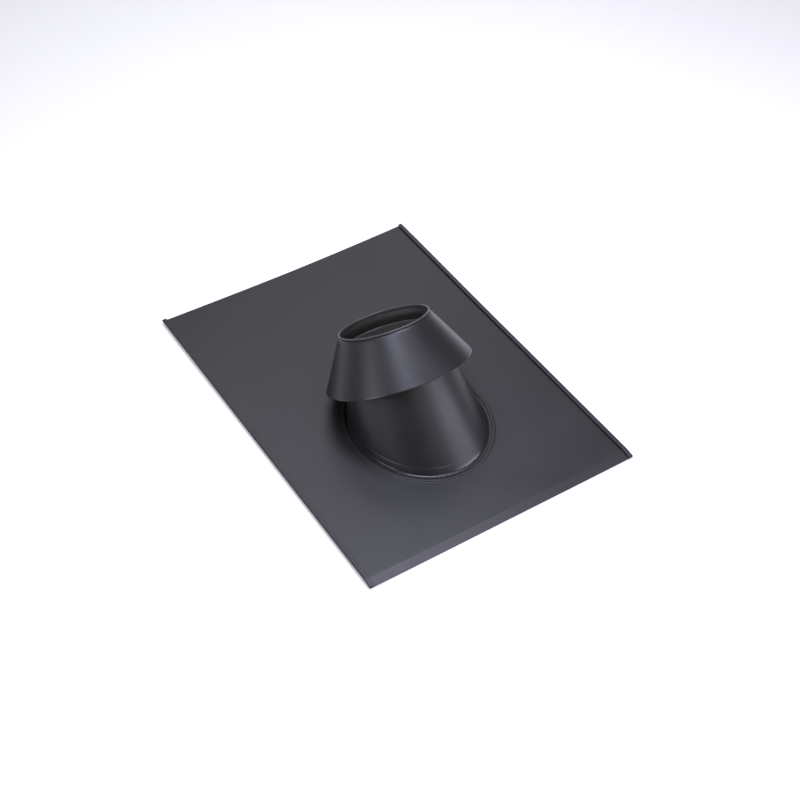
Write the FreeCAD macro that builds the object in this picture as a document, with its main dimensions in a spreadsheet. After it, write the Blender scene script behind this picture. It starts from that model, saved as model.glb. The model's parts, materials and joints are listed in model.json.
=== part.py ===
import FreeCAD, Part
import os
import Sketcher
from FreeCAD import Placement, Rotation, Vector

# Roof flashing for a 150 mm flue pipe, in folded and painted sheet steel.
#
# Frame: the base plate lies in XY and runs up the roof towards +Y. +Z is the plate's outward normal and
# z = 0 is the lowest edge of the eave strip. The pipe's axis crosses the plate's underside in front of
# its middle and leans towards +Y by the roof's pitch, so that the pipe stands upright on the roof.
# "Axis height" is a distance along that axis, measured from the plate's underside.

# ---------------------------------------------------------------- driving dimensions, mm and degrees
DIMENSIONS = {
    "sheet_thickness": 0.8,
    "plate_width": 500,
    "plate_length": 700,
    "hem_width": 8,
    "hem_height": 4.6,
    "eave_width": 16,
    "eave_angle": 8,
    "eave_bend_radius": 6,
    "roof_pitch": 32,
    "axis_foot_forward": 79,
    "pipe_diameter": 150,
    "skirt_foot_radius": 109,
    "skirt_taper": 11.5,
    "skirt_rim_height": 139,
    "skirt_bead_radius": 1.5,
    "skirt_lap_angle": 17,
    "skirt_lap_height": 76,
    "foot_flange_width": 4.4,
    "foot_band_height": 11,
    "foot_band_step": 0.4,
    "foot_bend": 1.6,
    "seam_ring_gap": 0.6,
    "seam_ring_width": 6,
    "seam_ring_rise": 1.6,
    "seam_ring_slope": 1,
    "neck_gap": 0.15,
    "neck_bend": 1,
    "collar_rim_radius": 125.3,
    "collar_rim_height": 80.4,
    "collar_flare": 29.5,
    "collar_hem_height": 6,
    "collar_neck_height": 4,
    "collar_mouth_height": 168,
    "collar_bead_radius": 1.5,
    "collar_lap_angle": 11,
    "spacer_thickness": 1,
    "spacer_arc": 9,
    "spacer_foot_height": 97,
    "spacer_knee_height": 119,
    "spacer_shoulder_height": 128,
    "spacer_top_height": 139,
}

document = FreeCAD.newDocument("pipe_flashing")
sizes = document.addObject("Spreadsheet::Sheet", "sizes")
for row, (alias, number) in enumerate(DIMENSIONS.items(), start=1):
    sizes.set(f"A{row}", alias)
    sizes.set(f"B{row}", str(number))
    sizes.setAlias(f"B{row}", alias)
document.recompute()

# ---------------------------------------------------------------- expressions shared by several parts
SHEET = "sizes.sheet_thickness"
HEM_BEND = "(sizes.hem_height / 2)"
PITCH = "sizes.roof_pitch"
UNDERSIDE = ("(sizes.eave_bend_radius * (1 - cos(sizes.eave_angle))"
             " + sizes.eave_width * sin(sizes.eave_angle))")
SKIRT_SLOPE = "tan(sizes.skirt_taper)"
FLARE = "tan(sizes.collar_flare)"
BELOW_PLATE = 90       # axis height, downwards, that lies under the plate all round the pipe
CUTTER_REACH = 260     # half width of the solids that trim a cone at the plate
ROLL_FLAT = 72         # a rolled rim is drawn with flats that each turn through this angle


def skirt_radius(axis_height):
    """Expression for the skirt's outer radius at an axis height."""
    return f"(sizes.skirt_foot_radius - ({axis_height}) * {SKIRT_SLOPE})"


def collar_radius(axis_height):
    """Expression for the collar's outer radius at an axis height."""
    return f"(sizes.collar_rim_radius - (({axis_height}) - sizes.collar_rim_height) * {FLARE})"


# The plate cuts the skirt's cone in an ellipse. These are its half axes across and along the plate, the
# distance from the pipe's axis to its centre, and the level of the cone's tip. A "level" is a height over
# the plate's underside, square to it.
FRONT_SLOPE = f"(cos({PITCH}) - sin({PITCH}) * {SKIRT_SLOPE})"
REAR_SLOPE = f"(cos({PITCH}) + sin({PITCH}) * {SKIRT_SLOPE})"
FOOT_HALF_WIDTH = f"sizes.skirt_foot_radius * cos({PITCH}) / sqrt({FRONT_SLOPE} * {REAR_SLOPE})"
FOOT_HALF_LENGTH = f"sizes.skirt_foot_radius * cos({PITCH}) / ({FRONT_SLOPE} * {REAR_SLOPE})"
FOOT_SETBACK = (f"sizes.skirt_foot_radius * sin({PITCH}) * {SKIRT_SLOPE}"
                f" / ({FRONT_SLOPE} * {REAR_SLOPE})")
TIP_LEVEL = f"(sizes.skirt_foot_radius * cos({PITCH}) / {SKIRT_SLOPE})"


# ---------------------------------------------------------------- helpers
def bind(feature, bindings):
    """Ties properties of a feature to expressions."""
    for path, expression in bindings.items():
        feature.setExpression(path, expression)


def number(expression):
    """Present value of an expression, for the first drawing of a sketch."""
    value = sizes.evalExpression(str(expression))
    return float(getattr(value, "Value", value))


def new_part(kind, name, bindings, **links):
    """A Part workbench feature with bound sizes and links to its inputs."""
    feature = document.addObject(kind, name)
    for link, target in links.items():
        setattr(feature, link, target)
    bind(feature, bindings)
    return feature


def set_on_axis(feature, along="0"):
    """Stands a feature on the pipe's axis, with its own Z along the axis."""
    feature.Placement = Placement(Vector(), Rotation(Vector(-1, 0, 0), number(PITCH)))
    bind(feature, {
        "Placement.Rotation.Angle": PITCH,
        "Placement.Base.y": f"({along}) * sin({PITCH}) - sizes.axis_foot_forward",
        "Placement.Base.z": f"{UNDERSIDE} + ({along}) * cos({PITCH})",
    })


def sketch_on(body, role, name):
    """An empty sketch on one of the body's own origin planes."""
    plane = next(item for item in body.Origin.OriginFeatures if item.Role == role)
    sketch = body.newObject("Sketcher::SketchObject", name)
    sketch.AttachmentSupport = (plane, [""])
    sketch.MapMode = "FlatFace"
    return sketch


def fix_point(sketch, geometry, position, across, up):
    """Holds a point of a sketch at two bound distances from the sketch's origin."""
    for direction, expression in (("DistanceX", across), ("DistanceY", up)):
        index = sketch.addConstraint(
            Sketcher.Constraint(direction, -1, 1, geometry, position, number(expression)))
        sketch.setExpression(f"Constraints[{index}]", str(expression))


def draw_outline(sketch, corners, arcs=None, closed=True):
    """Draws lines from corner to corner, each corner at bound distances from the origin.

    arcs gives, for the side that starts at a corner, the arc's centre and its turn: 1 is anticlockwise.
    """
    arcs = arcs or {}
    points = [Vector(number(across), number(up), 0) for across, up in corners]
    sides = len(points) if closed else len(points) - 1
    ends = []
    for side in range(sides):
        start = points[side]
        stop = points[(side + 1) % len(points)]
        if side not in arcs:
            sketch.addGeometry(Part.LineSegment(start, stop))
            ends.append((1, 2))
            continue
        centre_across, centre_up, turn = arcs[side]
        centre = Vector(number(centre_across), number(centre_up), 0)
        circle = Part.Circle(centre, Vector(0, 0, 1), (start - centre).Length)
        first, last = (start, stop) if turn > 0 else (stop, start)
        sketch.addGeometry(Part.ArcOfCircle(circle, circle.parameter(first), circle.parameter(last)))
        ends.append((1, 2) if turn > 0 else (2, 1))
    for side in range(sides if closed else sides - 1):
        after = (side + 1) % sides
        sketch.addConstraint(
            Sketcher.Constraint("Coincident", side, ends[side][1], after, ends[after][0]))
    for side in range(sides):
        fix_point(sketch, side, ends[side][0], *corners[side])
    if not closed:
        fix_point(sketch, sides - 1, ends[-1][1], *corners[-1])
    for side, (centre_across, _, _) in arcs.items():
        index = sketch.addConstraint(
            Sketcher.Constraint("DistanceX", -1, 1, side, 3, number(centre_across)))
        sketch.setExpression(f"Constraints[{index}]", str(centre_across))


def roll_corners(across, up, radius, start, stop):
    """Corners of a rolled rim round a bound centre, anticlockwise from start up to stop, in degrees."""
    return [(f"{across} + {radius} * cos({angle})", f"{up} + {radius} * sin({angle})")
            for angle in range(start, stop, ROLL_FLAT)]


def turn_about_axis(body, sketch, name, angle=None, reverse=False):
    """Revolves a sketch about the body's own Z, all round or through a bound angle."""
    revolution = body.newObject("PartDesign::Revolution", name)
    revolution.Profile = sketch
    revolution.ReferenceAxis = (sketch, ["V_Axis"])
    revolution.Angle = 360
    revolution.Reversed = reverse
    if angle:
        bind(revolution, {"Angle": angle})
    return revolution


def cone_on_axis(name, offset):
    """A solid cone with the skirt's taper, larger than the skirt's outside by a bound offset."""
    cone = new_part("Part::Cone", name, {
        "Radius1": f"{skirt_radius(-BELOW_PLATE)} + ({offset})",
        "Radius2": f"{skirt_radius('sizes.skirt_rim_height')} + ({offset})",
        "Height": f"sizes.skirt_rim_height + {BELOW_PLATE}",
    })
    set_on_axis(cone, str(-BELOW_PLATE))
    return cone


def ellipse_at(name, level, half_length, half_width, along):
    """A level ellipse over the plate, its long way up the roof and its centre at a bound place along it."""
    ellipse = new_part("Part::Ellipse", name, {
        "MajorRadius": half_length,
        "MinorRadius": half_width,
        "Placement.Base.y": along,
        "Placement.Base.z": f"{UNDERSIDE} + ({level})",
    })
    ellipse.Placement.Rotation = Rotation(Vector(0, 0, 1), 90)
    return ellipse


def foot_outline(name, level, offset):
    """The curve of the skirt's foot, larger by a bound offset and lifted to a level."""
    return ellipse_at(name, level, f"{FOOT_HALF_LENGTH} + ({offset})", f"{FOOT_HALF_WIDTH} + ({offset})",
                      f"-sizes.axis_foot_forward - {FOOT_SETBACK}")


def cone_outline(name, level, offset):
    """The curve in which a level plane cuts the skirt's cone, its radius made larger by a bound offset."""
    share = f"(1 + ({offset}) / sizes.skirt_foot_radius - ({level}) / {TIP_LEVEL})"
    return ellipse_at(name, level, f"{FOOT_HALF_LENGTH} * {share}", f"{FOOT_HALF_WIDTH} * {share}",
                      f"({level}) * tan({PITCH}) - sizes.axis_foot_forward - {FOOT_SETBACK} * {share}")


def between(name, outline, low, high):
    """A solid between two outlines of one kind, each given by its level and its offset."""
    ends = [outline(f"{name}_low", *low), outline(f"{name}_high", *high)]
    solid = new_part("Part::Loft", name, {}, Sections=ends)
    solid.Solid = True
    solid.Ruled = True
    return solid


# ---------------------------------------------------------------- base plate
# One sheet. Its long sides are folded up and over into open water hems, and its front edge, hems and
# all, is bent down into the eave strip. Round the hole it is pressed up into a seam ring, and the hole's
# own edge is drawn up into a neck inside the skirt.
def make_base_plate():
    sheet = document.addObject("PartDesign::Body", "folded_sheet")
    flat = f"(sizes.plate_width / 2 - {HEM_BEND})"
    lip = "(sizes.plate_width / 2 - sizes.hem_width)"
    hem_top = "sizes.hem_height"
    lip_under = f"(sizes.hem_height - {SHEET})"
    section = sketch_on(sheet, "XZ_Plane", "sheet_section")
    draw_outline(section, [
        (f"-{flat}", "0"), (flat, "0"), (flat, hem_top), (lip, hem_top), (lip, lip_under),
        (flat, lip_under), (flat, SHEET), (f"-{flat}", SHEET), (f"-{flat}", lip_under),
        (f"-{lip}", lip_under), (f"-{lip}", hem_top), (f"-{flat}", hem_top),
    ], arcs={1: (flat, HEM_BEND, 1), 5: (flat, HEM_BEND, -1),
             7: (f"-{flat}", HEM_BEND, -1), 11: (f"-{flat}", HEM_BEND, 1)})
    bind(section, {"AttachmentOffset.Base.z": "-sizes.plate_length / 2"})

    front = "(sizes.plate_length / 2 - sizes.hem_height * sin(sizes.eave_angle))"
    eave_top = f"-({front} - sizes.eave_width * cos(sizes.eave_angle))"
    bend_start = f"({eave_top} + sizes.eave_bend_radius * sin(sizes.eave_angle))"
    bend_drop = "sizes.eave_bend_radius * (1 - cos(sizes.eave_angle))"
    run = sketch_on(sheet, "YZ_Plane", "sheet_run")
    draw_outline(run, [
        ("sizes.plate_length / 2", "0"), (bend_start, "0"), (eave_top, f"-{bend_drop}"),
        (f"-{front}", f"-{UNDERSIDE}"),
    ], arcs={1: (bend_start, "-sizes.eave_bend_radius", 1)}, closed=False)

    folding = sheet.newObject("PartDesign::AdditivePipe", "sheet_folding")
    folding.Profile = section
    folding.Spine = (run, ["Edge1", "Edge2", "Edge3"])
    sheet.Tip = folding
    bind(sheet, {"Placement.Base.z": UNDERSIDE})

    rise = "sizes.seam_ring_rise"
    slope = "sizes.seam_ring_slope"
    ring_top = f"{rise} + {SHEET}"
    inner_edge = "sizes.foot_flange_width + sizes.seam_ring_gap"
    outer_edge = f"{inner_edge} + sizes.seam_ring_width"
    pressed = f"{SHEET} * (sqrt(pow({rise}; 2) + pow({slope}; 2)) - {slope}) / {rise}"
    ring = between("ring", foot_outline, (SHEET, outer_edge), (ring_top, f"{outer_edge} - {slope}"))
    seat = between("seat", foot_outline, (SHEET, inner_edge), (ring_top, f"{inner_edge} + {slope}"))
    hollow_outside = between("hollow_outside", foot_outline, ("0", f"{outer_edge} - {pressed}"),
                             (rise, f"{outer_edge} - {pressed} - {slope}"))
    hollow_inside = between("hollow_inside", foot_outline, ("0", f"{inner_edge} + {pressed}"),
                            (rise, f"{inner_edge} + {pressed} + {slope}"))
    hollow = new_part("Part::Cut", "ring_hollow", {}, Base=hollow_outside, Tool=hollow_inside)
    raised = new_part("Part::Fuse", "raised_ring", {}, Base=sheet, Tool=ring)
    seated = new_part("Part::Cut", "skirt_seat", {}, Base=raised, Tool=seat)
    pressed_ring = new_part("Part::Cut", "pressed_ring", {}, Base=seated, Tool=hollow)

    outside = f"-{SHEET} - sizes.neck_gap"
    inside = f"{outside} - {SHEET}"
    neck_top = "sizes.foot_band_height"
    neck = between("neck", cone_outline, ("0", outside), (neck_top, outside))
    root = between("neck_root", cone_outline, (SHEET, f"{outside} + sizes.neck_bend"),
                   (f"{SHEET} + sizes.neck_bend", outside))
    bore = between("neck_bore", cone_outline, (f"-{SHEET}", inside), (f"{neck_top} + {SHEET}", inside))
    under_bend = f"{SHEET} + sizes.neck_bend"
    under = between("neck_under", cone_outline, ("0", f"{inside} + {under_bend}"), (under_bend, inside))
    drawn = new_part("Part::MultiFuse", "drawn_neck", {}, Shapes=[pressed_ring, neck, root])
    opened = new_part("Part::Cut", "open_neck", {}, Base=drawn, Tool=bore)
    return new_part("Part::Cut", "open_plate", {}, Base=opened, Tool=under)


# ---------------------------------------------------------------- skirt
# A cone of sheet round the pipe's axis, rolled and lapped at the back. Its rim is wired. Its foot is cut
# to the plate, where it has a formed band, which grips the plate's neck, and an outward flange.
def make_skirt():
    wall = document.addObject("PartDesign::Body", "skirt_wall")
    rim = "sizes.skirt_rim_height"
    across_wall = f"({SHEET} / cos(sizes.skirt_taper))"
    section = sketch_on(wall, "YZ_Plane", "skirt_section")
    draw_outline(section, [
        (skirt_radius(-BELOW_PLATE), str(-BELOW_PLATE)), (skirt_radius(rim), rim),
        (f"{skirt_radius(rim)} - {across_wall}", rim),
        (f"{skirt_radius(-BELOW_PLATE)} - {across_wall}", str(-BELOW_PLATE)),
    ])
    turn_about_axis(wall, section, "rolled_wall")

    lap = sketch_on(wall, "YZ_Plane", "lap_section")
    lap_foot = "sizes.skirt_lap_height"
    draw_outline(lap, [
        (skirt_radius(lap_foot), lap_foot), (f"{skirt_radius(lap_foot)} + {across_wall}", lap_foot),
        (f"{skirt_radius(rim)} + {across_wall}", rim), (skirt_radius(rim), rim),
    ])
    turn_about_axis(wall, lap, "lapped_edge", angle="sizes.skirt_lap_angle", reverse=True)

    wire = sketch_on(wall, "YZ_Plane", "wire_section")
    draw_outline(wire, roll_corners(skirt_radius(rim), rim, "sizes.skirt_bead_radius", 0, 360))
    turn_about_axis(wall, wire, "wired_rim")

    plate_line = f"({SHEET} + {{}} * sin({PITCH})) / cos({PITCH})"
    under = sketch_on(wall, "YZ_Plane", "under_plate")
    draw_outline(under, [
        (str(-CUTTER_REACH), plate_line.format(-CUTTER_REACH)),
        (str(-CUTTER_REACH), str(-2 * CUTTER_REACH)), (str(CUTTER_REACH), str(-2 * CUTTER_REACH)),
        (str(CUTTER_REACH), plate_line.format(CUTTER_REACH)),
    ])
    trim = wall.newObject("PartDesign::Pocket", "foot_trim")
    trim.Profile = under
    trim.Type = "Length"
    trim.Length = 2 * CUTTER_REACH
    trim.Midplane = True
    wall.Tip = trim
    set_on_axis(wall)

    step = "sizes.foot_band_step"
    bend = "sizes.foot_bend"
    flange_top = f"2 * {SHEET}"
    flange = between("foot_flange", foot_outline, (SHEET, "sizes.foot_flange_width"),
                     (flange_top, "sizes.foot_flange_width"))
    band = between("foot_band", cone_outline, (SHEET, step), ("sizes.foot_band_height", step))
    outer_bend = between("foot_bend", cone_outline, (flange_top, f"{step} + {bend}"),
                         (f"{flange_top} + {bend}", step))
    foot = new_part("Part::MultiFuse", "solid_foot", {}, Shapes=[flange, band, outer_bend])
    inside = cone_on_axis("skirt_inside", f"-{across_wall}")
    ring = new_part("Part::Cut", "foot_ring", {}, Base=foot, Tool=inside)
    joined = new_part("Part::Fuse", "joined_skirt", {}, Base=wall, Tool=ring)
    inner_bend = between("foot_bend_under", cone_outline, (SHEET, f"{bend} + {SHEET} - {across_wall}"),
                         (f"{flange_top} + {bend}", f"-{across_wall}"))
    return new_part("Part::Cut", "trimmed_skirt", {}, Base=joined, Tool=inner_bend)


# ---------------------------------------------------------------- storm collar
# A flared cone over the skirt's rim. Its neck takes the pipe and ends in a rolled bead. Its lower edge
# is hemmed inwards, and it is lapped at the back.
def make_collar():
    collar = document.addObject("PartDesign::Body", "storm_collar")
    across_wall = f"({SHEET} / cos(sizes.collar_flare))"
    mouth = "sizes.collar_mouth_height"
    shoulder = "(sizes.collar_mouth_height - sizes.collar_neck_height)"
    lower = "sizes.collar_rim_height"
    hem_top = "(sizes.collar_rim_height + sizes.collar_hem_height)"
    bore = "(sizes.pipe_diameter / 2)"
    curl = "sizes.collar_bead_radius"
    curl_root = f"sqrt(pow({curl}; 2) - pow({curl} - {SHEET}; 2))"
    section = sketch_on(collar, "YZ_Plane", "collar_section")
    draw_outline(section, [
        (collar_radius(lower), lower),
        (collar_radius(shoulder), shoulder),
        (f"{bore} + {SHEET}", f"{mouth} - {curl} - {curl_root}"),
        *roll_corners(f"({bore} + {curl})", f"{mouth} - {curl}", curl, -90, 180),
        (bore, f"{mouth} - {curl}"),
        (bore, shoulder),
        (f"{collar_radius(f'{shoulder} - {SHEET}')} - {across_wall}", f"{shoulder} - {SHEET}"),
        (f"{collar_radius(hem_top)} - {across_wall}", hem_top),
        (f"{collar_radius(hem_top)} - 2 * {across_wall}", hem_top),
        (f"{collar_radius(lower)} - 2 * {SHEET} * cos(sizes.collar_flare)",
         f"{lower} - 2 * {SHEET} * sin(sizes.collar_flare)"),
    ])
    turn_about_axis(collar, section, "flared_wall")

    lap = sketch_on(collar, "YZ_Plane", "collar_lap_section")
    draw_outline(lap, [
        (collar_radius(lower), lower), (f"{collar_radius(lower)} + {across_wall}", lower),
        (f"{collar_radius(shoulder)} + {across_wall}", shoulder), (collar_radius(shoulder), shoulder),
    ])
    collar.Tip = turn_about_axis(collar, lap, "collar_lap", angle="sizes.collar_lap_angle", reverse=True)
    set_on_axis(collar)
    return collar


# ---------------------------------------------------------------- spacers
# Three bent strips hold the collar clear of the skirt. The lower leg of each lies on the skirt's outside
# and the upper leg on the collar's inside.
def make_spacer(name, bearing):
    spacer = document.addObject("PartDesign::Body", name)
    thick_low = "(sizes.spacer_thickness / cos(sizes.skirt_taper))"
    thick_high = "(sizes.spacer_thickness / cos(sizes.collar_flare))"
    collar_wall = f"({SHEET} / cos(sizes.collar_flare))"
    foot = "sizes.spacer_foot_height"
    knee = "sizes.spacer_knee_height"
    shoulder = "sizes.spacer_shoulder_height"
    top = "sizes.spacer_top_height"
    section = sketch_on(spacer, "YZ_Plane", f"{name}_section")
    draw_outline(section, [
        (skirt_radius(foot), foot),
        (f"{skirt_radius(foot)} + {thick_low}", foot),
        (f"{skirt_radius(knee)} + {thick_low}", f"{knee} - sizes.spacer_thickness / 2"),
        (f"{collar_radius(shoulder)} - {collar_wall}", shoulder),
        (f"{collar_radius(top)} - {collar_wall}", top),
        (f"{collar_radius(top)} - {collar_wall} - {thick_high}", top),
        (f"{collar_radius(shoulder)} - {collar_wall} - {thick_high}",
         f"{shoulder} + sizes.spacer_thickness / 2"),
        (skirt_radius(knee), knee),
    ])
    strip = turn_about_axis(spacer, section, f"{name}_bent_strip", angle="sizes.spacer_arc")
    strip.Midplane = True
    spacer.Tip = strip
    tilt = Placement(Vector(), Rotation(Vector(-1, 0, 0), number(PITCH)))
    spacer.Placement = tilt.multiply(Placement(Vector(), Rotation(Vector(0, 0, 1), bearing)))
    bind(spacer, {
        "Placement.Base.y": "-sizes.axis_foot_forward",
        "Placement.Base.z": UNDERSIDE,
    })
    return spacer


# ---------------------------------------------------------------- build, check and write
SPACER_BEARINGS = {"spacer_left": 60, "spacer_front": 180, "spacer_right": 300}

pieces = {
    "base_plate": make_base_plate(),
    "skirt": make_skirt(),
    "storm_collar": make_collar(),
}
for spacer_name, spacer_bearing in SPACER_BEARINGS.items():
    pieces[spacer_name] = make_spacer(spacer_name, spacer_bearing)

document.recompute()
for item in document.Objects:
    if "Invalid" in item.State or "Error" in item.State:
        raise RuntimeError(f"{item.Name} failed: {item.State}")

os.makedirs("parts", exist_ok=True)
for label, piece in pieces.items():
    piece.Label = label
    shape = piece.Shape
    if shape.isNull() or not shape.isValid() or len(shape.Solids) != 1:
        raise RuntimeError(f"{label} is not one valid solid")
    shape.exportStep(f"parts/{label}.step")
    box = shape.BoundBox
    print(f"{label}: {shape.Volume / 1000:.1f} cm3, {len(shape.Faces)} faces, "
          f"{box.XLength:.1f} x {box.YLength:.1f} x {box.ZLength:.1f} mm")
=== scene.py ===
"""Looks of a roof flashing for a flue pipe: satin black coated sheet steel, on a pale studio floor."""

import math

import bmesh
import bpy
import numpy as np
from mathutils import Euler, Matrix, Vector
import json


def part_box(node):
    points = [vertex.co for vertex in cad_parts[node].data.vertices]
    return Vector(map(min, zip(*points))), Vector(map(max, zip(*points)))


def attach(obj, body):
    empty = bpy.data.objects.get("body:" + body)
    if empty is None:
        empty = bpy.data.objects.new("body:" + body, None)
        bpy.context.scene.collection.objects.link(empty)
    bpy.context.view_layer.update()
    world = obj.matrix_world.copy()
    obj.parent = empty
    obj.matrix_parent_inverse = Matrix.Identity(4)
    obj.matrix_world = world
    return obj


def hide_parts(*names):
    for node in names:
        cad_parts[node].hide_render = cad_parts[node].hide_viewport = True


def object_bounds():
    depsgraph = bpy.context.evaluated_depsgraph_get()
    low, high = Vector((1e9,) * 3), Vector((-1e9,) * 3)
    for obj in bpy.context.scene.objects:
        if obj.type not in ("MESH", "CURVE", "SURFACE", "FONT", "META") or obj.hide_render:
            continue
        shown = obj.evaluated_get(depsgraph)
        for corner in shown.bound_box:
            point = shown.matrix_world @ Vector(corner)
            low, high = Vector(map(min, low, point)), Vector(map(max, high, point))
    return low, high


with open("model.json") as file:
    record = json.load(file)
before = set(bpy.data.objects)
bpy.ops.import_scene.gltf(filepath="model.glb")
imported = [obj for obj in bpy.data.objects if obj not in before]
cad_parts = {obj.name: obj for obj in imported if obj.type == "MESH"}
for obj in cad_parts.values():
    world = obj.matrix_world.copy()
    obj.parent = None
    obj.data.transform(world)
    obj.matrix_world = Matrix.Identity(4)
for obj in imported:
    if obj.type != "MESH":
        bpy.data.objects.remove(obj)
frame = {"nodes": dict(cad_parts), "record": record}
cad_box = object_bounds()

# ---------------------------------------------------------------- sizes, in millimetres and degrees
MM = 0.001
SHEET = 0.8            # thickness of the steel
HEM_WIDTH = 8.0        # water hem along each long side of the base plate
HEM_HEIGHT = 4.6
HEM_SLOPE = 4.0        # the lip is pressed down towards its free edge by this angle
EAVE_WIDTH = 16.0      # strip along the front that is bent down
EAVE_ANGLE = 8.0
EAVE_BEND_RADIUS = 6.0
SKIRT_FOOT_RADIUS = 109.0
SKIRT_TAPER = 11.5
SKIRT_RIM_HEIGHT = 139.0    # along the pipe's axis, as every "height" of the skirt and collar
FOOT_FLANGE_WIDTH = 4.4
FOOT_BAND_HEIGHT = 11.0     # over the plate's underside, as every "level"
FOOT_BAND_STEP = 0.4
FOOT_BEND_RADIUS = 1.6
SEAM_RING_GAP = 0.6
SEAM_RING_WIDTH = 6.0
SEAM_RING_RISE = 1.6
SEAM_RING_ROUND = 0.7
NECK_GAP = 0.15
NECK_BEND_RADIUS = 1.0
COLLAR_RIM_RADIUS = 125.3
COLLAR_RIM_HEIGHT = 80.4
COLLAR_FLARE = 29.5
COLLAR_HEM_HEIGHT = 6.0
COLLAR_NECK_HEIGHT = 4.0
COLLAR_MOUTH_HEIGHT = 168.0
BEAD_RADIUS = 1.5
SKIRT_LAP = 17.0            # how far the rolled sheet lies over its own beginning
COLLAR_LAP = 11.0
LAP_CLEARANCE = 0.06
LAP_CLIMB = 9.0             # turn over which the sheet climbs on to itself
FOLD_CLEARANCE = 0.1        # air inside the collar's folded hem
COLLAR_WALL_START = 2.0     # level over the collar's lower edge where its wall begins
BAND_FADE = 1.2             # the skirt's band runs out into the wall within this, either way
ROUND_COLUMNS = 320         # facets round a cone
SKIRT_WALL_ROWS = 24
COLLAR_WALL_ROWS = 22
SHARP_ANGLE = math.radians(50)

# Slack of the base plate's thin sheet.
HEM_LIFT = 2.6         # rise of a hem at the rear corners
REAR_SAG = 1.8         # droop of the rear edge's middle
STAND_OFF = 0.25       # rise of the sheet clear of the skirt's foot
BROAD_DENT = 0.22
FINE_DENT = 0.12

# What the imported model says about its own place.
MOUNTS = {mount["name"]: mount for mount in frame["record"]["mounts"]}
NECK_POINT = Vector(MOUNTS["pipe_neck"]["pos_m"]) / MM
PIPE_AXIS = Vector(MOUNTS["pipe_neck"]["axis"]).normalized()
BORE_RADIUS = MOUNTS["pipe_neck"]["dims"]["r_mm"]
UNDERSIDE = MOUNTS["roof_face"]["pos_m"][2] / MM
PITCH = math.atan2(PIPE_AXIS.y, PIPE_AXIS.z)
AXIS_FOOT = NECK_POINT - PIPE_AXIS * ((NECK_POINT.z - UNDERSIDE) / PIPE_AXIS.z)
PLATE_BOX = [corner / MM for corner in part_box("base_plate")]
HALF_WIDTH = (PLATE_BOX[1].x - PLATE_BOX[0].x) / 2
REAR_Y = PLATE_BOX[1].y
FRONT_Y = PLATE_BOX[0].y

# The plate cuts the skirt's cone in an ellipse, which shrinks evenly towards the cone's tip.
TAPER = math.tan(math.radians(SKIRT_TAPER))
FRONT_SLOPE = math.cos(PITCH) - math.sin(PITCH) * TAPER
REAR_SLOPE = math.cos(PITCH) + math.sin(PITCH) * TAPER
FOOT_HALF_WIDTH = SKIRT_FOOT_RADIUS * math.cos(PITCH) / math.sqrt(FRONT_SLOPE * REAR_SLOPE)
FOOT_HALF_LENGTH = SKIRT_FOOT_RADIUS * math.cos(PITCH) / (FRONT_SLOPE * REAR_SLOPE)
FOOT_SETBACK = SKIRT_FOOT_RADIUS * math.sin(PITCH) * TAPER / (FRONT_SLOPE * REAR_SLOPE)
FOOT_CENTRE_Y = AXIS_FOOT.y - FOOT_SETBACK
CONE_TIP = AXIS_FOOT + PIPE_AXIS * (SKIRT_FOOT_RADIUS / TAPER)


# ---------------------------------------------------------------- small helpers
def srgb(text):
    """Linear colour of an sRGB hex value."""
    values = [int(text[start:start + 2], 16) / 255 for start in (0, 2, 4)]
    linear = [v / 12.92 if v <= 0.04045 else ((v + 0.055) / 1.055) ** 2.4 for v in values]
    return (*linear, 1.0)


def add_node(tree, kind, settings=None, links=None):
    """Adds a node, sets its properties and input values, and links other sockets to its inputs."""
    node = tree.nodes.new(kind)
    for key, value in (settings or {}).items():
        if isinstance(key, int) or key in node.inputs:
            node.inputs[key].default_value = value
        else:
            setattr(node, key, value)
    for key, socket in (links or {}).items():
        tree.links.new(socket, node.inputs[key])
    return node


def arc_points(centre, radius, start, stop, steps):
    """Points of an arc in a sheet's section, with its ends, in degrees."""
    angles = np.radians(np.linspace(start, stop, steps + 1))
    return [(centre[0] + radius * math.cos(a), centre[1] + radius * math.sin(a)) for a in angles]


def smoothstep(low, high, value):
    """Smooth rise from 0 at low to 1 at high."""
    share = np.clip((value - low) / (high - low), 0, 1)
    return share * share * (3 - 2 * share)


def new_object(name, mesh):
    """Links a mesh to the scene as an object at the origin."""
    piece = bpy.data.objects.new(name, mesh)
    bpy.context.scene.collection.objects.link(piece)
    return piece


# ---------------------------------------------------------------- materials
def start_material(name):
    """A new material: itself, its node tree, its shader, and the place on the object, in metres."""
    material = bpy.data.materials.new(name)
    material.use_nodes = True
    tree = material.node_tree
    place = add_node(tree, "ShaderNodeTexCoord").outputs["Object"]
    return material, tree, tree.nodes["Principled BSDF"], place


def noise(tree, place, size, detail):
    """Soft noise between 0 and 1, with patches of about the given size in millimetres."""
    settings = {"Scale": 1 / (size * MM), "Detail": detail}
    return add_node(tree, "ShaderNodeTexNoise", settings, {"Vector": place}).outputs["Fac"]


def colour_by(tree, shader, value, dark, pale, low=0.0, high=1.0):
    """Shades the base colour from dark at low to pale at high."""
    ramp = add_node(tree, "ShaderNodeValToRGB", links={"Fac": value})
    for element, position, colour in zip(ramp.color_ramp.elements, (low, high), (dark, pale)):
        element.position = position
        element.color = srgb(colour)
    tree.links.new(ramp.outputs["Color"], shader.inputs["Base Color"])


def spread(tree, value, least, most, low=0.0, high=1.0):
    """A value from low to high, spread from least to most."""
    settings = {"From Min": low, "From Max": high, "To Min": least, "To Max": most}
    return add_node(tree, "ShaderNodeMapRange", settings, {"Value": value}).outputs["Result"]


STRETCH_GLOSS = 0.17        # roughness lost where the coat is stretched tight
DRIFT_LOW = 0.3             # the drift noise lies nearly all between these two
DRIFT_HIGH = 0.7


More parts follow.
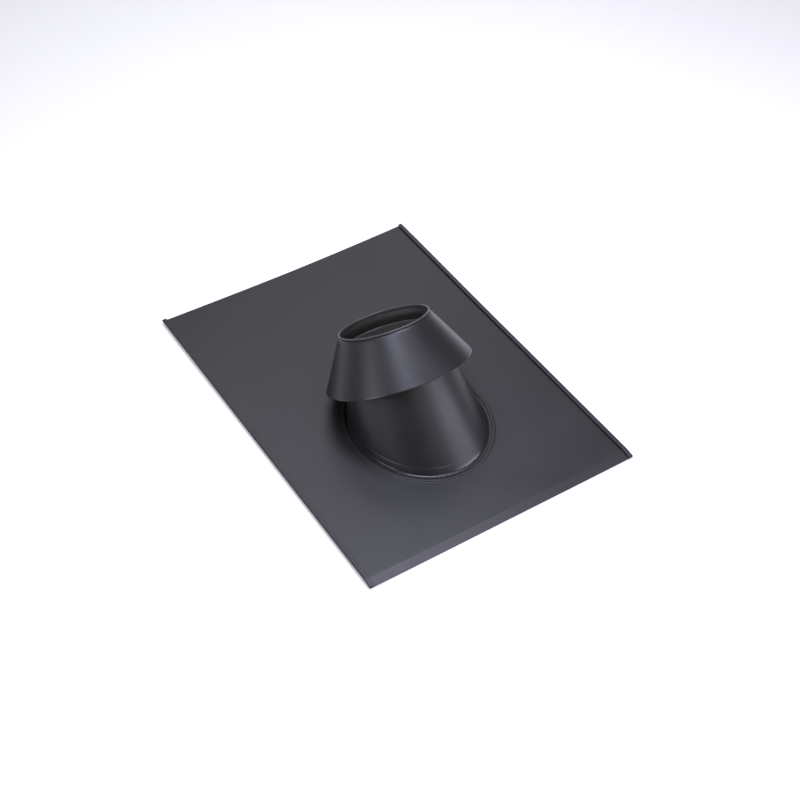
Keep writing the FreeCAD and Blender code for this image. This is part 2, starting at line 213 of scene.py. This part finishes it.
def coated_steel():
    """Satin black polyester coil coating on galvanised steel.

    The coat is even and nearly black with a faint violet cast. Roller coating leaves a very fine orange
    peel, which softens each reflection, and the gloss drifts a little over a hand's breadth. Where a roll
    or bend has stretched the coat tight, it shines and draws a crisp line of light.
    """
    material, tree, shader, place = start_material("satin_black_coil_coating")
    drift = noise(tree, place, 90, 3.0)
    colour_by(tree, shader, drift, "212022", "262527", DRIFT_LOW, DRIFT_HIGH)
    gloss = spread(tree, drift, 0.36, 0.43, DRIFT_LOW, DRIFT_HIGH)
    worked = add_node(tree, "ShaderNodeAttribute", {"attribute_name": "worked"})
    tight = add_node(tree, "ShaderNodeMath", {"operation": "MULTIPLY", 1: STRETCH_GLOSS},
                     {0: worked.outputs["Fac"]})
    rough = add_node(tree, "ShaderNodeMath", {"operation": "SUBTRACT"}, {0: gloss, 1: tight.outputs[0]})
    tree.links.new(rough.outputs[0], shader.inputs["Roughness"])

    # Real orange peel is about 1 mm across; 2.2 mm is as fine as shows here.
    bump = add_node(tree, "ShaderNodeBump", {"Strength": 0.16, "Distance": 0.05 * MM},
                    {"Height": noise(tree, place, 2.2, 2.0)})
    tree.links.new(bump.outputs["Normal"], shader.inputs["Normal"])
    return material


def backing_coat():
    """Grey epoxy backing coat on the sheet's reverse, seen in the mouth and on the rolled beads."""
    material, tree, shader, place = start_material("grey_epoxy_backing_coat")
    cloud = noise(tree, place, 40, 3.0)
    colour_by(tree, shader, cloud, "41413E", "494946")
    tree.links.new(spread(tree, cloud, 0.32, 0.42), shader.inputs["Roughness"])
    return material


def sheared_edge():
    """Cut edge of galvanised steel: a grey line of bare metal, rough from the shear."""
    material, tree, shader, place = start_material("sheared_galvanised_edge")
    shader.inputs["Metallic"].default_value = 1.0
    tear = noise(tree, place, 3, 4.0)
    colour_by(tree, shader, tear, "2E2E30", "505053")
    tree.links.new(spread(tree, tear, 0.45, 0.65), shader.inputs["Roughness"])
    return material


def floor_paper():
    """Matt white background paper, lit a little from behind: even, with a barely visible mottle."""
    material, tree, shader, place = start_material("matt_background_paper")
    colour_by(tree, shader, noise(tree, place, 400, 2.0), "F6F6F4", "F9F9F7")
    shader.inputs["Roughness"].default_value = 0.95
    shader.inputs["Emission Color"].default_value = (1.0, 1.0, 1.0, 1.0)
    shader.inputs["Emission Strength"].default_value = 0.22
    return material


# ---------------------------------------------------------------- rolled sheet: skirt and collar
# A cone of sheet is described by rows, from its lower free edge to its upper one. Each row has
#   level  height over the plane that cuts the cone's foot
#   share  share of the way from there to the rim, along the cone
#   out    distance outwards in the foot plane
#   rim_out, rim_up  distance from the rim outwards and along the axis
#   lap    how far the row follows the lap, from 0 to 1
#   worked  how tightly the sheet is bent there, from 0 to 1
ROW_FIELDS = ("level", "share", "out", "rim_out", "rim_up", "lap", "worked")


def row(**fields):
    """One row of a rolled sheet; what isn't given is 0."""
    return {field: fields.get(field, 0.0) for field in ROW_FIELDS}


def rows_to_mesh(name, rows):
    """A row of points that carry the rows' values as attributes, for the rolling tree."""
    mesh = bpy.data.meshes.new(name)
    mesh.from_pydata([(0, 0, 0)] * len(rows), [], [])
    for field in ROW_FIELDS:
        layer = mesh.attributes.new(field, "FLOAT", "POINT")
        layer.data.foreach_set("value", [entry[field] for entry in rows])
    return mesh


def rolling_tree():
    """Geometry Nodes tree that rolls a sheet round the pipe's axis, row by row."""
    tree = bpy.data.node_groups.new("roll_sheet_round_pipe", "GeometryNodeTree")
    sockets = (
        ("Rows", "NodeSocketGeometry"), ("Columns", "NodeSocketInt"), ("Seam Bearing", "NodeSocketFloat"),
        ("Lap", "NodeSocketFloat"), ("Lap Climb", "NodeSocketFloat"), ("Lap Step", "NodeSocketFloat"),
        ("Base Radius", "NodeSocketFloat"), ("Taper", "NodeSocketFloat"), ("Rim Height", "NodeSocketFloat"),
        ("Cut Tilt", "NodeSocketFloat"), ("Cut Height", "NodeSocketFloat"), ("Pitch", "NodeSocketFloat"),
        ("Axis Foot", "NodeSocketVector"), ("Material", "NodeSocketMaterial"),
    )
    for name, kind in sockets:
        tree.interface.new_socket(name, in_out="INPUT", socket_type=kind)
    tree.interface.new_socket("Sheet", in_out="OUTPUT", socket_type="NodeSocketGeometry")
    given = add_node(tree, "NodeGroupInput").outputs

    def math_node(operation, first, second=None):
        """Output of a Math node on sockets or numbers."""
        node = add_node(tree, "ShaderNodeMath", {"operation": operation})
        for slot, value in enumerate((first, second)):
            if isinstance(value, bpy.types.NodeSocket):
                tree.links.new(value, node.inputs[slot])
            elif value is not None:
                node.inputs[slot].default_value = value
        return node.outputs[0]

    def vector_node(operation, first, second=None, output=0):
        """Output of a Vector Math node; second may be a vector or, to scale, a number."""
        node = add_node(tree, "ShaderNodeVectorMath", {"operation": operation}, {0: first})
        if second is not None:
            tree.links.new(second, node.inputs["Scale" if operation == "SCALE" else 1])
        return node.outputs[output]

    def combine(x, y, z):
        """Vector from sockets or numbers."""
        node = add_node(tree, "ShaderNodeCombineXYZ")
        for slot, value in enumerate((x, y, z)):
            if isinstance(value, bpy.types.NodeSocket):
                tree.links.new(value, node.inputs[slot])
            else:
                node.inputs[slot].default_value = value
        return node.outputs[0]

    # A grid of columns by rows. Where a point stands in it says which row it takes and how far it turns.
    size = add_node(tree, "GeometryNodeAttributeDomainSize", links={"Geometry": given["Rows"]})
    grid = add_node(tree, "GeometryNodeMeshGrid", {"Size X": 1.0, "Size Y": 1.0},
                    {"Vertices X": given["Columns"], "Vertices Y": size.outputs["Point Count"]})
    index = add_node(tree, "GeometryNodeInputIndex").outputs[0]
    row_index = math_node("FLOORED_MODULO", index, size.outputs["Point Count"])
    column = math_node("FLOOR", math_node("DIVIDE", index, size.outputs["Point Count"]))
    values = {}
    for field in ROW_FIELDS:
        named = add_node(tree, "GeometryNodeInputNamedAttribute", {"data_type": "FLOAT", "Name": field})
        sample = add_node(tree, "GeometryNodeSampleIndex", {"data_type": "FLOAT"}, {
            "Geometry": given["Rows"], "Value": named.outputs["Attribute"], "Index": row_index})
        values[field] = sample.outputs[0]

    # Turn of a column, and how far the sheet has climbed on to its own beginning.
    full_turn = math_node("ADD", given["Lap"], 2 * math.pi)
    turned = math_node("MULTIPLY", math_node("DIVIDE", column, math_node("SUBTRACT", given["Columns"], 1.0)),
                       full_turn)
    bearing = math_node("SUBTRACT", given["Seam Bearing"], turned)
    climb = add_node(tree, "ShaderNodeMapRange", {"interpolation_type": "SMOOTHSTEP"}, {
        "Value": turned, "From Min": math_node("SUBTRACT", 2 * math.pi, given["Lap Climb"]),
        "To Max": given["Lap Step"]})
    climb.inputs["From Max"].default_value = 2 * math.pi
    lap_rise = math_node("MULTIPLY", climb.outputs["Result"], values["lap"])

    # The cone's generator at this bearing, from the foot plane to the rim. Z is the pipe's axis.
    side = combine(math_node("SINE", bearing), math_node("COSINE", bearing), 0.0)
    slope = math_node("TANGENT", given["Taper"])
    inward = vector_node("SCALE", side, math_node("MULTIPLY", slope, -1.0))
    run = vector_node("ADD", combine(0.0, 0.0, 1.0), inward)
    base = vector_node("SCALE", side, given["Base Radius"])
    plane = combine(0.0, math_node("MULTIPLY", math_node("SINE", given["Cut Tilt"]), -1.0),
                    math_node("COSINE", given["Cut Tilt"]))
    gap = math_node("SUBTRACT",
                    math_node("MULTIPLY", given["Cut Height"], math_node("COSINE", given["Cut Tilt"])),
                    vector_node("DOT_PRODUCT", base, plane, output=1))
    rate = vector_node("DOT_PRODUCT", run, plane, output=1)
    foot_height = math_node("DIVIDE", gap, rate)
    start = math_node("ADD", foot_height, math_node("DIVIDE", values["level"], rate))
    height = math_node("ADD", start, math_node("MULTIPLY", values["share"],
                                               math_node("SUBTRACT", given["Rim Height"], start)))
    wall = vector_node("ADD", base, vector_node("SCALE", run, height))

    # Offsets: in the foot plane, at the rim, and square to the cone where the sheet laps.
    outward = vector_node("ADD", side, vector_node("SCALE", combine(0.0, 0.0, 1.0), slope))
    outward = vector_node("NORMALIZE", outward)
    lift = vector_node("DOT_PRODUCT", outward, plane, output=1)
    level_out = vector_node("NORMALIZE",
                            vector_node("SUBTRACT", outward, vector_node("SCALE", plane, lift)))
    wall = vector_node("ADD", wall, vector_node("SCALE", level_out, values["out"]))
    wall = vector_node("ADD", wall, vector_node("SCALE", side, values["rim_out"]))
    wall = vector_node("ADD", wall, combine(0.0, 0.0, values["rim_up"]))
    wall = vector_node("ADD", wall, vector_node("SCALE", outward, lap_rise))

    # Lean the sheet back by the pitch and stand it on the axis' foot.
    turn = add_node(tree, "ShaderNodeVectorRotate", {"rotation_type": "X_AXIS"}, {
        "Vector": wall, "Angle": math_node("MULTIPLY", given["Pitch"], -1.0)})
    placed = vector_node("ADD", turn.outputs[0], given["Axis Foot"])
    moved = add_node(tree, "GeometryNodeSetPosition", links={
        "Geometry": grid.outputs["Mesh"], "Position": placed})
    marked = add_node(tree, "GeometryNodeStoreNamedAttribute", {
        "data_type": "FLOAT", "domain": "POINT", "Name": "worked"},
        {"Geometry": moved.outputs[0], "Value": values["worked"]})
    smooth = add_node(tree, "GeometryNodeSetShadeSmooth", links={"Geometry": marked.outputs[0]})
    real = add_node(tree, "GeometryNodeRealizeInstances", links={"Geometry": smooth.outputs[0]})
    coat = add_node(tree, "GeometryNodeSetMaterial", links={
        "Geometry": real.outputs[0], "Material": given["Material"]})
    add_node(tree, "NodeGroupOutput", links={"Sheet": coat.outputs[0]})
    return tree


def rolled_sheet(name, tree, rows, sizes, coat, edge, back):
    """A plain mesh made by the rolling tree, given the sheet's thickness and its bare cut edges."""
    piece = new_object(name, rows_to_mesh(f"{name}_rows", rows))
    rolling = piece.modifiers.new("rolling", "NODES")
    rolling.node_group = tree
    places = {item.name: item.identifier for item in tree.interface.items_tree if item.in_out == "INPUT"}
    for label, value in {**sizes, "Material": coat}.items():
        rolling[places[label]] = value
    bpy.context.view_layer.update()
    mesh = bpy.data.meshes.new_from_object(piece.evaluated_get(bpy.context.evaluated_depsgraph_get()))
    piece.modifiers.remove(rolling)
    piece.data = mesh
    mesh.name = name
    mesh.transform(Matrix.Scale(MM, 4))
    give_thickness(piece, coat, edge, back)
    return piece


def give_thickness(piece, coat, edge, back):
    """Solidifies a sheet away from its outer face, with bare cut edges and its own back, and bakes it."""
    piece.data.materials.clear()
    for material in (coat, edge, back):
        piece.data.materials.append(material)
    wall = piece.modifiers.new("sheet", "SOLIDIFY")
    wall.thickness = SHEET * MM
    wall.offset = -1
    wall.use_even_offset = True
    wall.use_rim = True
    wall.material_offset_rim = 1
    wall.material_offset = 2
    bpy.context.view_layer.update()
    mesh = bpy.data.meshes.new_from_object(piece.evaluated_get(bpy.context.evaluated_depsgraph_get()))
    piece.modifiers.remove(wall)
    piece.data = mesh
    for polygon in mesh.polygons:
        polygon.use_smooth = True
    mesh.set_sharp_from_angle(angle=SHARP_ANGLE)


def skirt_rows():
    """Skirt: flange, bend, gripping band, wall, and the rim rolled outwards over a wire."""
    rows = [row(level=2 * SHEET, out=out) for out in (FOOT_FLANGE_WIDTH, FOOT_FLANGE_WIDTH - 0.6)]
    bend = arc_points((FOOT_BAND_STEP + FOOT_BEND_RADIUS, 2 * SHEET + FOOT_BEND_RADIUS),
                      FOOT_BEND_RADIUS, 270, 180, 6)
    rows += [row(level=level, out=out, worked=1.0) for out, level in bend]

    # The band's upper edge softens into the wall: levels over its top, and what is left of its step.
    rows.append(row(level=FOOT_BAND_HEIGHT * 0.6, out=FOOT_BAND_STEP))
    for over, left in ((-BAND_FADE, 1.0), (-0.7, 1.0), (-0.2, 0.7), (0.2, 0.3), (0.7, 0.0)):
        rows.append(row(level=FOOT_BAND_HEIGHT + over, out=left * FOOT_BAND_STEP))
    wall_start = FOOT_BAND_HEIGHT + BAND_FADE
    shares = np.linspace(0, 1, SKIRT_WALL_ROWS)
    rows += [row(level=wall_start, share=share, lap=float(smoothstep(0.02, 0.15, share))) for share in shares]
    roll_radius = BEAD_RADIUS - SHEET
    roll_centre = (roll_radius, 0.3)
    for out, up in arc_points(roll_centre, roll_radius, 180, -70, 12):
        rows.append(row(level=wall_start, share=1.0, rim_out=out, rim_up=up, lap=1.0, worked=1.0))
    return rows


def collar_rows():
    """Storm collar: hemmed lower edge, flared wall, short neck and a bead rolled at the mouth."""
    fold = SHEET + FOLD_CLEARANCE
    rows = [row(level=COLLAR_HEM_HEIGHT * part / 3, out=-2 * fold) for part in (3, 2, 1)]
    rows += [row(level=level, out=out, worked=1.0)
             for out, level in arc_points((-fold, fold), fold, 180, 360, 8)]
    shares = np.linspace(0, 1, COLLAR_WALL_ROWS)
    rows += [row(level=COLLAR_WALL_START, share=share,
                 lap=float(smoothstep(0.0, 0.06, share) - smoothstep(0.96, 1.0, share))) for share in shares]
    shoulder = COLLAR_MOUTH_HEIGHT - COLLAR_NECK_HEIGHT
    cone_radius = COLLAR_RIM_RADIUS - (shoulder - COLLAR_RIM_HEIGHT) * math.tan(math.radians(COLLAR_FLARE))
    neck_out = BORE_RADIUS + SHEET - cone_radius

    # The wall turns up into the neck: shares of the way in, then the neck's own foot.
    for part in (0.35, 0.7, 0.92):
        rows.append(row(level=COLLAR_WALL_START, share=1.0, rim_out=neck_out * part, rim_up=0.75 * part))
    rows.append(row(level=COLLAR_WALL_START, share=1.0, rim_out=neck_out, rim_up=1.2))
    roll_radius = BEAD_RADIUS - SHEET
    centre = (neck_out + roll_radius, COLLAR_NECK_HEIGHT - BEAD_RADIUS)
    for out, up in arc_points(centre, roll_radius, 180, -100, 14):
        rows.append(row(level=COLLAR_WALL_START, share=1.0, rim_out=out, rim_up=up, worked=1.0))
    return rows


def make_skirt(tree, coat, edge, back):
    """The leaning cone, cut to the plate."""
    piece = rolled_sheet("skirt_sheet", tree, skirt_rows(), {
        "Columns": ROUND_COLUMNS + 1,
        "Seam Bearing": math.radians(SKIRT_LAP),
        "Lap": math.radians(SKIRT_LAP),
        "Lap Climb": math.radians(LAP_CLIMB),
        "Lap Step": SHEET + LAP_CLEARANCE,
        "Base Radius": SKIRT_FOOT_RADIUS,
        "Taper": math.radians(SKIRT_TAPER),
        "Rim Height": SKIRT_RIM_HEIGHT,
        "Cut Tilt": PITCH,
        "Cut Height": 0.0,
        "Pitch": PITCH,
        "Axis Foot": AXIS_FOOT,
    }, coat, edge, back)
    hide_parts("skirt")
    return piece


def make_collar(tree, coat, edge, back):
    """The flared cone that throws rain clear of the skirt's rim."""
    shoulder = COLLAR_MOUTH_HEIGHT - COLLAR_NECK_HEIGHT
    flare = math.radians(COLLAR_FLARE)
    piece = rolled_sheet("collar_sheet", tree, collar_rows(), {
        "Columns": ROUND_COLUMNS + 1,
        "Seam Bearing": math.radians(COLLAR_LAP),
        "Lap": math.radians(COLLAR_LAP),
        "Lap Climb": math.radians(LAP_CLIMB),
        "Lap Step": SHEET + LAP_CLEARANCE,
        "Base Radius": COLLAR_RIM_RADIUS + COLLAR_RIM_HEIGHT * math.tan(flare),
        "Taper": flare,
        "Rim Height": shoulder,
        "Cut Tilt": 0.0,
        "Cut Height": COLLAR_RIM_HEIGHT,
        "Pitch": PITCH,
        "Axis Foot": AXIS_FOOT,
    }, coat, edge, back)
    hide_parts("storm_collar")
    return piece


# ---------------------------------------------------------------- base plate
# The plate is drawn flat on its blank, (across, along, height over the underside), then the long sides are
# folded into hems, and the front edge is bent down, hems and all.
HEM_BEND = HEM_HEIGHT / 2
FLAT_HALF = HALF_WIDTH - HEM_BEND
BEND_START_Y = FRONT_Y + HEM_HEIGHT * math.sin(math.radians(EAVE_ANGLE)) + (
    EAVE_WIDTH * math.cos(math.radians(EAVE_ANGLE)) + EAVE_BEND_RADIUS * math.sin(math.radians(EAVE_ANGLE)))
BEND_LENGTH = EAVE_BEND_RADIUS * math.radians(EAVE_ANGLE)
BLANK_FRONT_Y = BEND_START_Y - BEND_LENGTH - EAVE_WIDTH
HEM_INNER_RADIUS = HEM_BEND - SHEET
HEM_ARC = math.pi * HEM_INNER_RADIUS
BLANK_HALF = FLAT_HALF + HEM_ARC + (HEM_WIDTH - HEM_BEND)
NECK_LEVELS = (8.0, 5.0)    # rows between the neck's top and its bend
ALONG_POINTS = 101
ACROSS_POINTS = 73
FIELD_RINGS = 30            # rings from the seam ring out to the flat area's border
FIELD_CROWDING = 1.25       # they lie closer together near the seam ring
HEM_ARC_POINTS = 11
LIP_POINTS = 4
EAVE_POINTS = 5             # in the eave's bend, and again in its strip
WELD_DISTANCE = 0.01


def foot_rows():
    """Rows round the hole: drawn neck, bend, seat of the skirt's flange and pressed seam ring.

    Each is (distance out from the skirt's foot, level over the underside).
    """
    neck_out = -SHEET - NECK_GAP
    rows = [(neck_out, level) for level in (FOOT_BAND_HEIGHT, *NECK_LEVELS)]
    rows += arc_points((neck_out + NECK_BEND_RADIUS, SHEET + NECK_BEND_RADIUS), NECK_BEND_RADIUS, 180, 270, 5)
    inner = FOOT_FLANGE_WIDTH + SEAM_RING_GAP
    outer = inner + SEAM_RING_WIDTH
    low = SHEET
    high = SHEET + SEAM_RING_RISE
    soft = SEAM_RING_ROUND
    rows += arc_points((inner, low + soft), soft, 270, 360, 4)
    rows += arc_points((inner + 2 * soft, high - soft), soft, 180, 90, 4)
    rows += arc_points((outer - 2 * soft, high - soft), soft, 90, 0, 4)
    rows += arc_points((outer, low + soft), soft, 180, 270, 4)
    return rows


def side_stations():
    """Places of the blank's points along its long sides and its front and rear, in millimetres."""
    along = np.linspace(BEND_START_Y, REAR_Y, ALONG_POINTS)
    across = np.linspace(-FLAT_HALF, FLAT_HALF, ACROSS_POINTS)
    return across, along


def blank_border(across, along):
    """Points of the flat area's border, anticlockwise from its front left corner."""
    border = [(x, along[0]) for x in across[:-1]]
    border += [(across[-1], y) for y in along[:-1]]
    border += [(x, along[-1]) for x in across[:0:-1]]
    border += [(across[0], y) for y in along[:0:-1]]
    return np.array(border)


def fold_hem(across, height):
    """Where a point of the blank goes when its long side is folded up and over."""
    sign = np.sign(across)
    past = np.abs(across) - FLAT_HALF
    angle = np.clip(past / HEM_INNER_RADIUS, 0, math.pi)
    lip = np.clip(past - HEM_ARC, 0, None)
    radius = HEM_INNER_RADIUS
    folded_x = FLAT_HALF + radius * np.sin(angle) - lip
    folded_z = HEM_BEND - radius * np.cos(angle) - lip * math.tan(math.radians(HEM_SLOPE))
    is_hem = past > 0
    return np.where(is_hem, sign * folded_x, across), np.where(is_hem, folded_z, height)


def bend_eave(along, height):
    """Where a point goes when the front edge is bent down."""
    past = BEND_START_Y - along
    angle = np.clip(past, 0, BEND_LENGTH) / EAVE_BEND_RADIUS
    beyond = np.clip(past - BEND_LENGTH, 0, None)
    radius = EAVE_BEND_RADIUS + height
    bent_y = BEND_START_Y - radius * np.sin(angle) - beyond * np.cos(angle)
    bent_z = radius * np.cos(angle) - EAVE_BEND_RADIUS - beyond * np.sin(angle)
    is_eave = past > 0
    return np.where(is_eave, bent_y, along), np.where(is_eave, bent_z, height)


def slack_of_sheet(x, y):
    """How far thin sheet stands off a true plane: its stiff hems ride up and its middle hangs.

    The hems lift towards the rear, the rear edge sags between them, and faint dents of hand size lie
    between. Round the skirt's foot it is flat.
    """
    side = np.abs(x) / HALF_WIDTH
    rearward = smoothstep(-60, REAR_Y, y)
    lift = HEM_LIFT * side ** 2.5 * (0.45 + 0.55 * rearward)
    sag = -REAR_SAG * (1 - side ** 2) * smoothstep(90, REAR_Y, y)
    dents = (BROAD_DENT * np.sin(x / 61 + 0.8) * np.sin(y / 83 + 0.4)
             + FINE_DENT * np.sin(x / 37 - y / 45))
    away = np.hypot(x / FOOT_HALF_WIDTH, (y - FOOT_CENTRE_Y) / FOOT_HALF_LENGTH)
    return (lift + sag + dents + STAND_OFF) * smoothstep(1.1, 1.9, away)


def plate_mesh():
    """The whole plate as one open surface, its upper face."""
    across, along = side_stations()
    border = blank_border(across, along)
    centre = np.array([0.0, FOOT_CENTRE_Y])
    bearings = np.unwrap(np.arctan2((border[:, 1] - centre[1]) / FOOT_HALF_LENGTH,
                                    (border[:, 0] - centre[0]) / FOOT_HALF_WIDTH))
    foot = np.stack([FOOT_HALF_WIDTH * np.cos(bearings),
                     centre[1] + FOOT_HALF_LENGTH * np.sin(bearings)], axis=1)
    normal = np.stack([np.cos(bearings) / FOOT_HALF_WIDTH, np.sin(bearings) / FOOT_HALF_LENGTH], axis=1)
    normal /= np.linalg.norm(normal, axis=1, keepdims=True)
    tip = np.array(CONE_TIP)

    rings = []
    for out, level in foot_rows():
        rising = level / (tip[2] - UNDERSIDE) if out < 0 else 0.0
        ring = foot * (1 - rising) + tip[:2] * rising + normal * out
        rings.append(np.column_stack([ring, np.full(len(ring), level)]))
    last = rings[-1][:, :2]
    for share in np.linspace(0, 1, FIELD_RINGS + 1)[1:] ** FIELD_CROWDING:
        ring = last * (1 - share) + border * share
        rings.append(np.column_stack([ring, np.full(len(ring), SHEET)]))

    count = len(border)
    vertices = list(np.concatenate(rings))
    faces = []
    for ring_index in range(len(rings) - 1):
        inner = ring_index * count
        outer = inner + count
        for step in range(count):
            after = (step + 1) % count
            faces.append((inner + step, outer + step, outer + after, inner + after))

    hem_arc = FLAT_HALF + np.linspace(0, HEM_ARC, HEM_ARC_POINTS)
    hem_lip = np.linspace(FLAT_HALF + HEM_ARC, BLANK_HALF, LIP_POINTS)[1:]
    hem = np.concatenate([hem_arc, hem_lip])
    bend_end = BEND_START_Y - BEND_LENGTH
    eave = np.concatenate([np.linspace(BEND_START_Y, bend_end, EAVE_POINTS),
                           np.linspace(bend_end, BLANK_FRONT_Y, EAVE_POINTS)[1:]])
    add_grid(vertices, faces, hem, along)
    add_grid(vertices, faces, -hem[::-1], along)
    add_grid(vertices, faces, np.concatenate([-hem[:0:-1], across, hem[1:]]), eave[::-1])
    return np.array(vertices), faces


def add_grid(vertices, faces, across, along):
    """Adds a flat grid of the blank, its faces seen anticlockwise from above."""
    first = len(vertices)
    for y in along:
        vertices += [np.array([x, y, SHEET]) for x in across]
    width = len(across)
    for i in range(len(along) - 1):
        for j in range(width - 1):
            corner = first + i * width + j
            faces.append((corner, corner + 1, corner + width + 1, corner + width))


def make_plate(coat, edge):
    """Base plate with water hems, eave strip, seam ring and neck."""
    points, faces = plate_mesh()
    mesh = bpy.data.meshes.new("plate_sheet")
    mesh.from_pydata([tuple(point) for point in points], [], faces)
    shaping = bmesh.new()
    shaping.from_mesh(mesh)
    bmesh.ops.remove_doubles(shaping, verts=shaping.verts, dist=WELD_DISTANCE)
    shaping.to_mesh(mesh)
    shaping.free()

    blank = np.zeros(len(mesh.vertices) * 3)
    mesh.vertices.foreach_get("co", blank)
    blank = blank.reshape(-1, 3)
    x, z = fold_hem(blank[:, 0], blank[:, 2])
    y, z = bend_eave(blank[:, 1], z)
    z = z + UNDERSIDE + slack_of_sheet(x, y)
    mesh.vertices.foreach_set("co", (np.column_stack([x, y, z]) * MM).ravel())
    mesh.update()
    piece = new_object("plate_sheet", mesh)
    give_thickness(piece, coat, edge, coat)
    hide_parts("base_plate")
    return piece


# ---------------------------------------------------------------- studio
def add_floor():
    """A wide pale floor just under the plate."""
    mesh = bpy.data.meshes.new("studio_floor")
    reach = 6.0        # in metres, as is the gap
    gap = 0.0002
    mesh.from_pydata([(-reach, -reach, 0), (reach, -reach, 0), (reach, reach, 0), (-reach, reach, 0)],
                     [], [(0, 1, 2, 3)])
    mesh.transform(Matrix.Translation((0, 0, cad_box[0][2] - gap)))
    floor = new_object("studio_floor", mesh)
    floor.data.materials.append(floor_paper())


def add_softbox(name, place, aim, size, brightness, tint):
    """A square softbox that looks from place to aim, in metres. White paper in full light is 1."""
    light = bpy.data.lights.new(name, "AREA")
    light.shape = "SQUARE"
    light.size = size
    light.energy = brightness * math.pi * size ** 2
    light.color = srgb(tint)[:3]
    lamp = bpy.data.objects.new(name, light)
    bpy.context.scene.collection.objects.link(lamp)
    direction = Vector(aim) - Vector(place)
    lamp.matrix_world = Matrix.Translation(place) @ direction.to_track_quat("-Z", "Y").to_matrix().to_4x4()


AIR_STRENGTH = 0.12         # even light from all round


def light_studio():
    """Two cool boxes overhead, dimmer ones all round, and a row of bright ones low at the front right."""
    for name, across, along, brightness in (("rear_overhead", 0.25, 0.25, 11),
                                            ("front_overhead", -0.25, -0.25, 10)):
        add_softbox(name, (across, along, 1.5), (across, along, 0), 0.5, brightness, "E1E5FF")
    middle = Vector((0, -0.06, 0.05))     # inside the skirt, in metres

    # Bearing and height in degrees, distance and size in metres.
    for name, bearing, height, distance, size, brightness, tint in (
            ("rear_wall", 60, 38, 2.4, 1.0, 1.5, "FAF8FF"),
            ("rear_high_box", 90, 52, 2.2, 0.75, 3.5, "F2F0FF"),
            ("right_high_box", 0, 71, 2.2, 0.75, 4, "F0EFFF"),
            ("left_box", 180, 30, 2.2, 0.8, 6, "FBF7FF"),
            ("front_high_box", 270, 52, 2.2, 0.75, 3, "FFFDFA"),
            ("front_right_wall", 300, 32, 2.2, 0.75, 4, "EBE7FF"),
            ("front_right_box", 312, 28, 2.0, 0.45, 7.5, "E5E1FF"),
            ("right_low_box", 324, 18, 2.0, 0.45, 8.5, "EFECFF")):
        turn, climb = math.radians(bearing), math.radians(height)
        way = Vector((math.cos(climb) * math.cos(turn), math.cos(climb) * math.sin(turn), math.sin(climb)))
        add_softbox(name, middle + way * distance, middle, size, brightness, tint)
    world = bpy.data.worlds.new("studio_air")
    bpy.context.scene.world = world
    world.use_nodes = True
    world.node_tree.nodes["Background"].inputs["Color"].default_value = srgb("FFFFFF")
    world.node_tree.nodes["Background"].inputs["Strength"].default_value = AIR_STRENGTH
    bpy.context.scene.view_settings.view_transform = "Standard"


def add_camera():
    """A long lens that looks down on the plate's front left corner."""
    azimuth = math.radians(-32.07)
    elevation = math.radians(45.34)
    distance = 2.6159
    target = Vector((0.0011, -0.0378, UNDERSIDE * MM))
    back = Vector((math.sin(azimuth) * math.cos(elevation), -math.cos(azimuth) * math.cos(elevation),
                   math.sin(elevation)))
    lens = bpy.data.cameras.new("camera")
    lens.sensor_width = 36.0
    lens.lens = 70.13
    lens.clip_end = 20.0
    camera = bpy.data.objects.new("camera", lens)
    bpy.context.scene.collection.objects.link(camera)
    facing = back.to_track_quat("Z", "Y").to_matrix().to_4x4()
    camera.matrix_world = (Matrix.Translation(target + back * distance) @ facing
                           @ Euler((0, 0, math.radians(-0.36))).to_matrix().to_4x4())
    bpy.context.scene.camera = camera


# ---------------------------------------------------------------- build
black_coat = coated_steel()
bare_edge = sheared_edge()
roll = rolling_tree()
grey_back = backing_coat()
sheets = [make_plate(black_coat, bare_edge), make_skirt(roll, black_coat, bare_edge, grey_back),
          make_collar(roll, black_coat, bare_edge, grey_back)]
for sheet_piece in sheets:
    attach(sheet_piece, "root")
for node_name in ("spacer_left", "spacer_front", "spacer_right"):
    spacer = frame["nodes"][node_name]
    spacer.data.materials.clear()
    spacer.data.materials.append(black_coat)

add_floor()
light_studio()
add_camera()
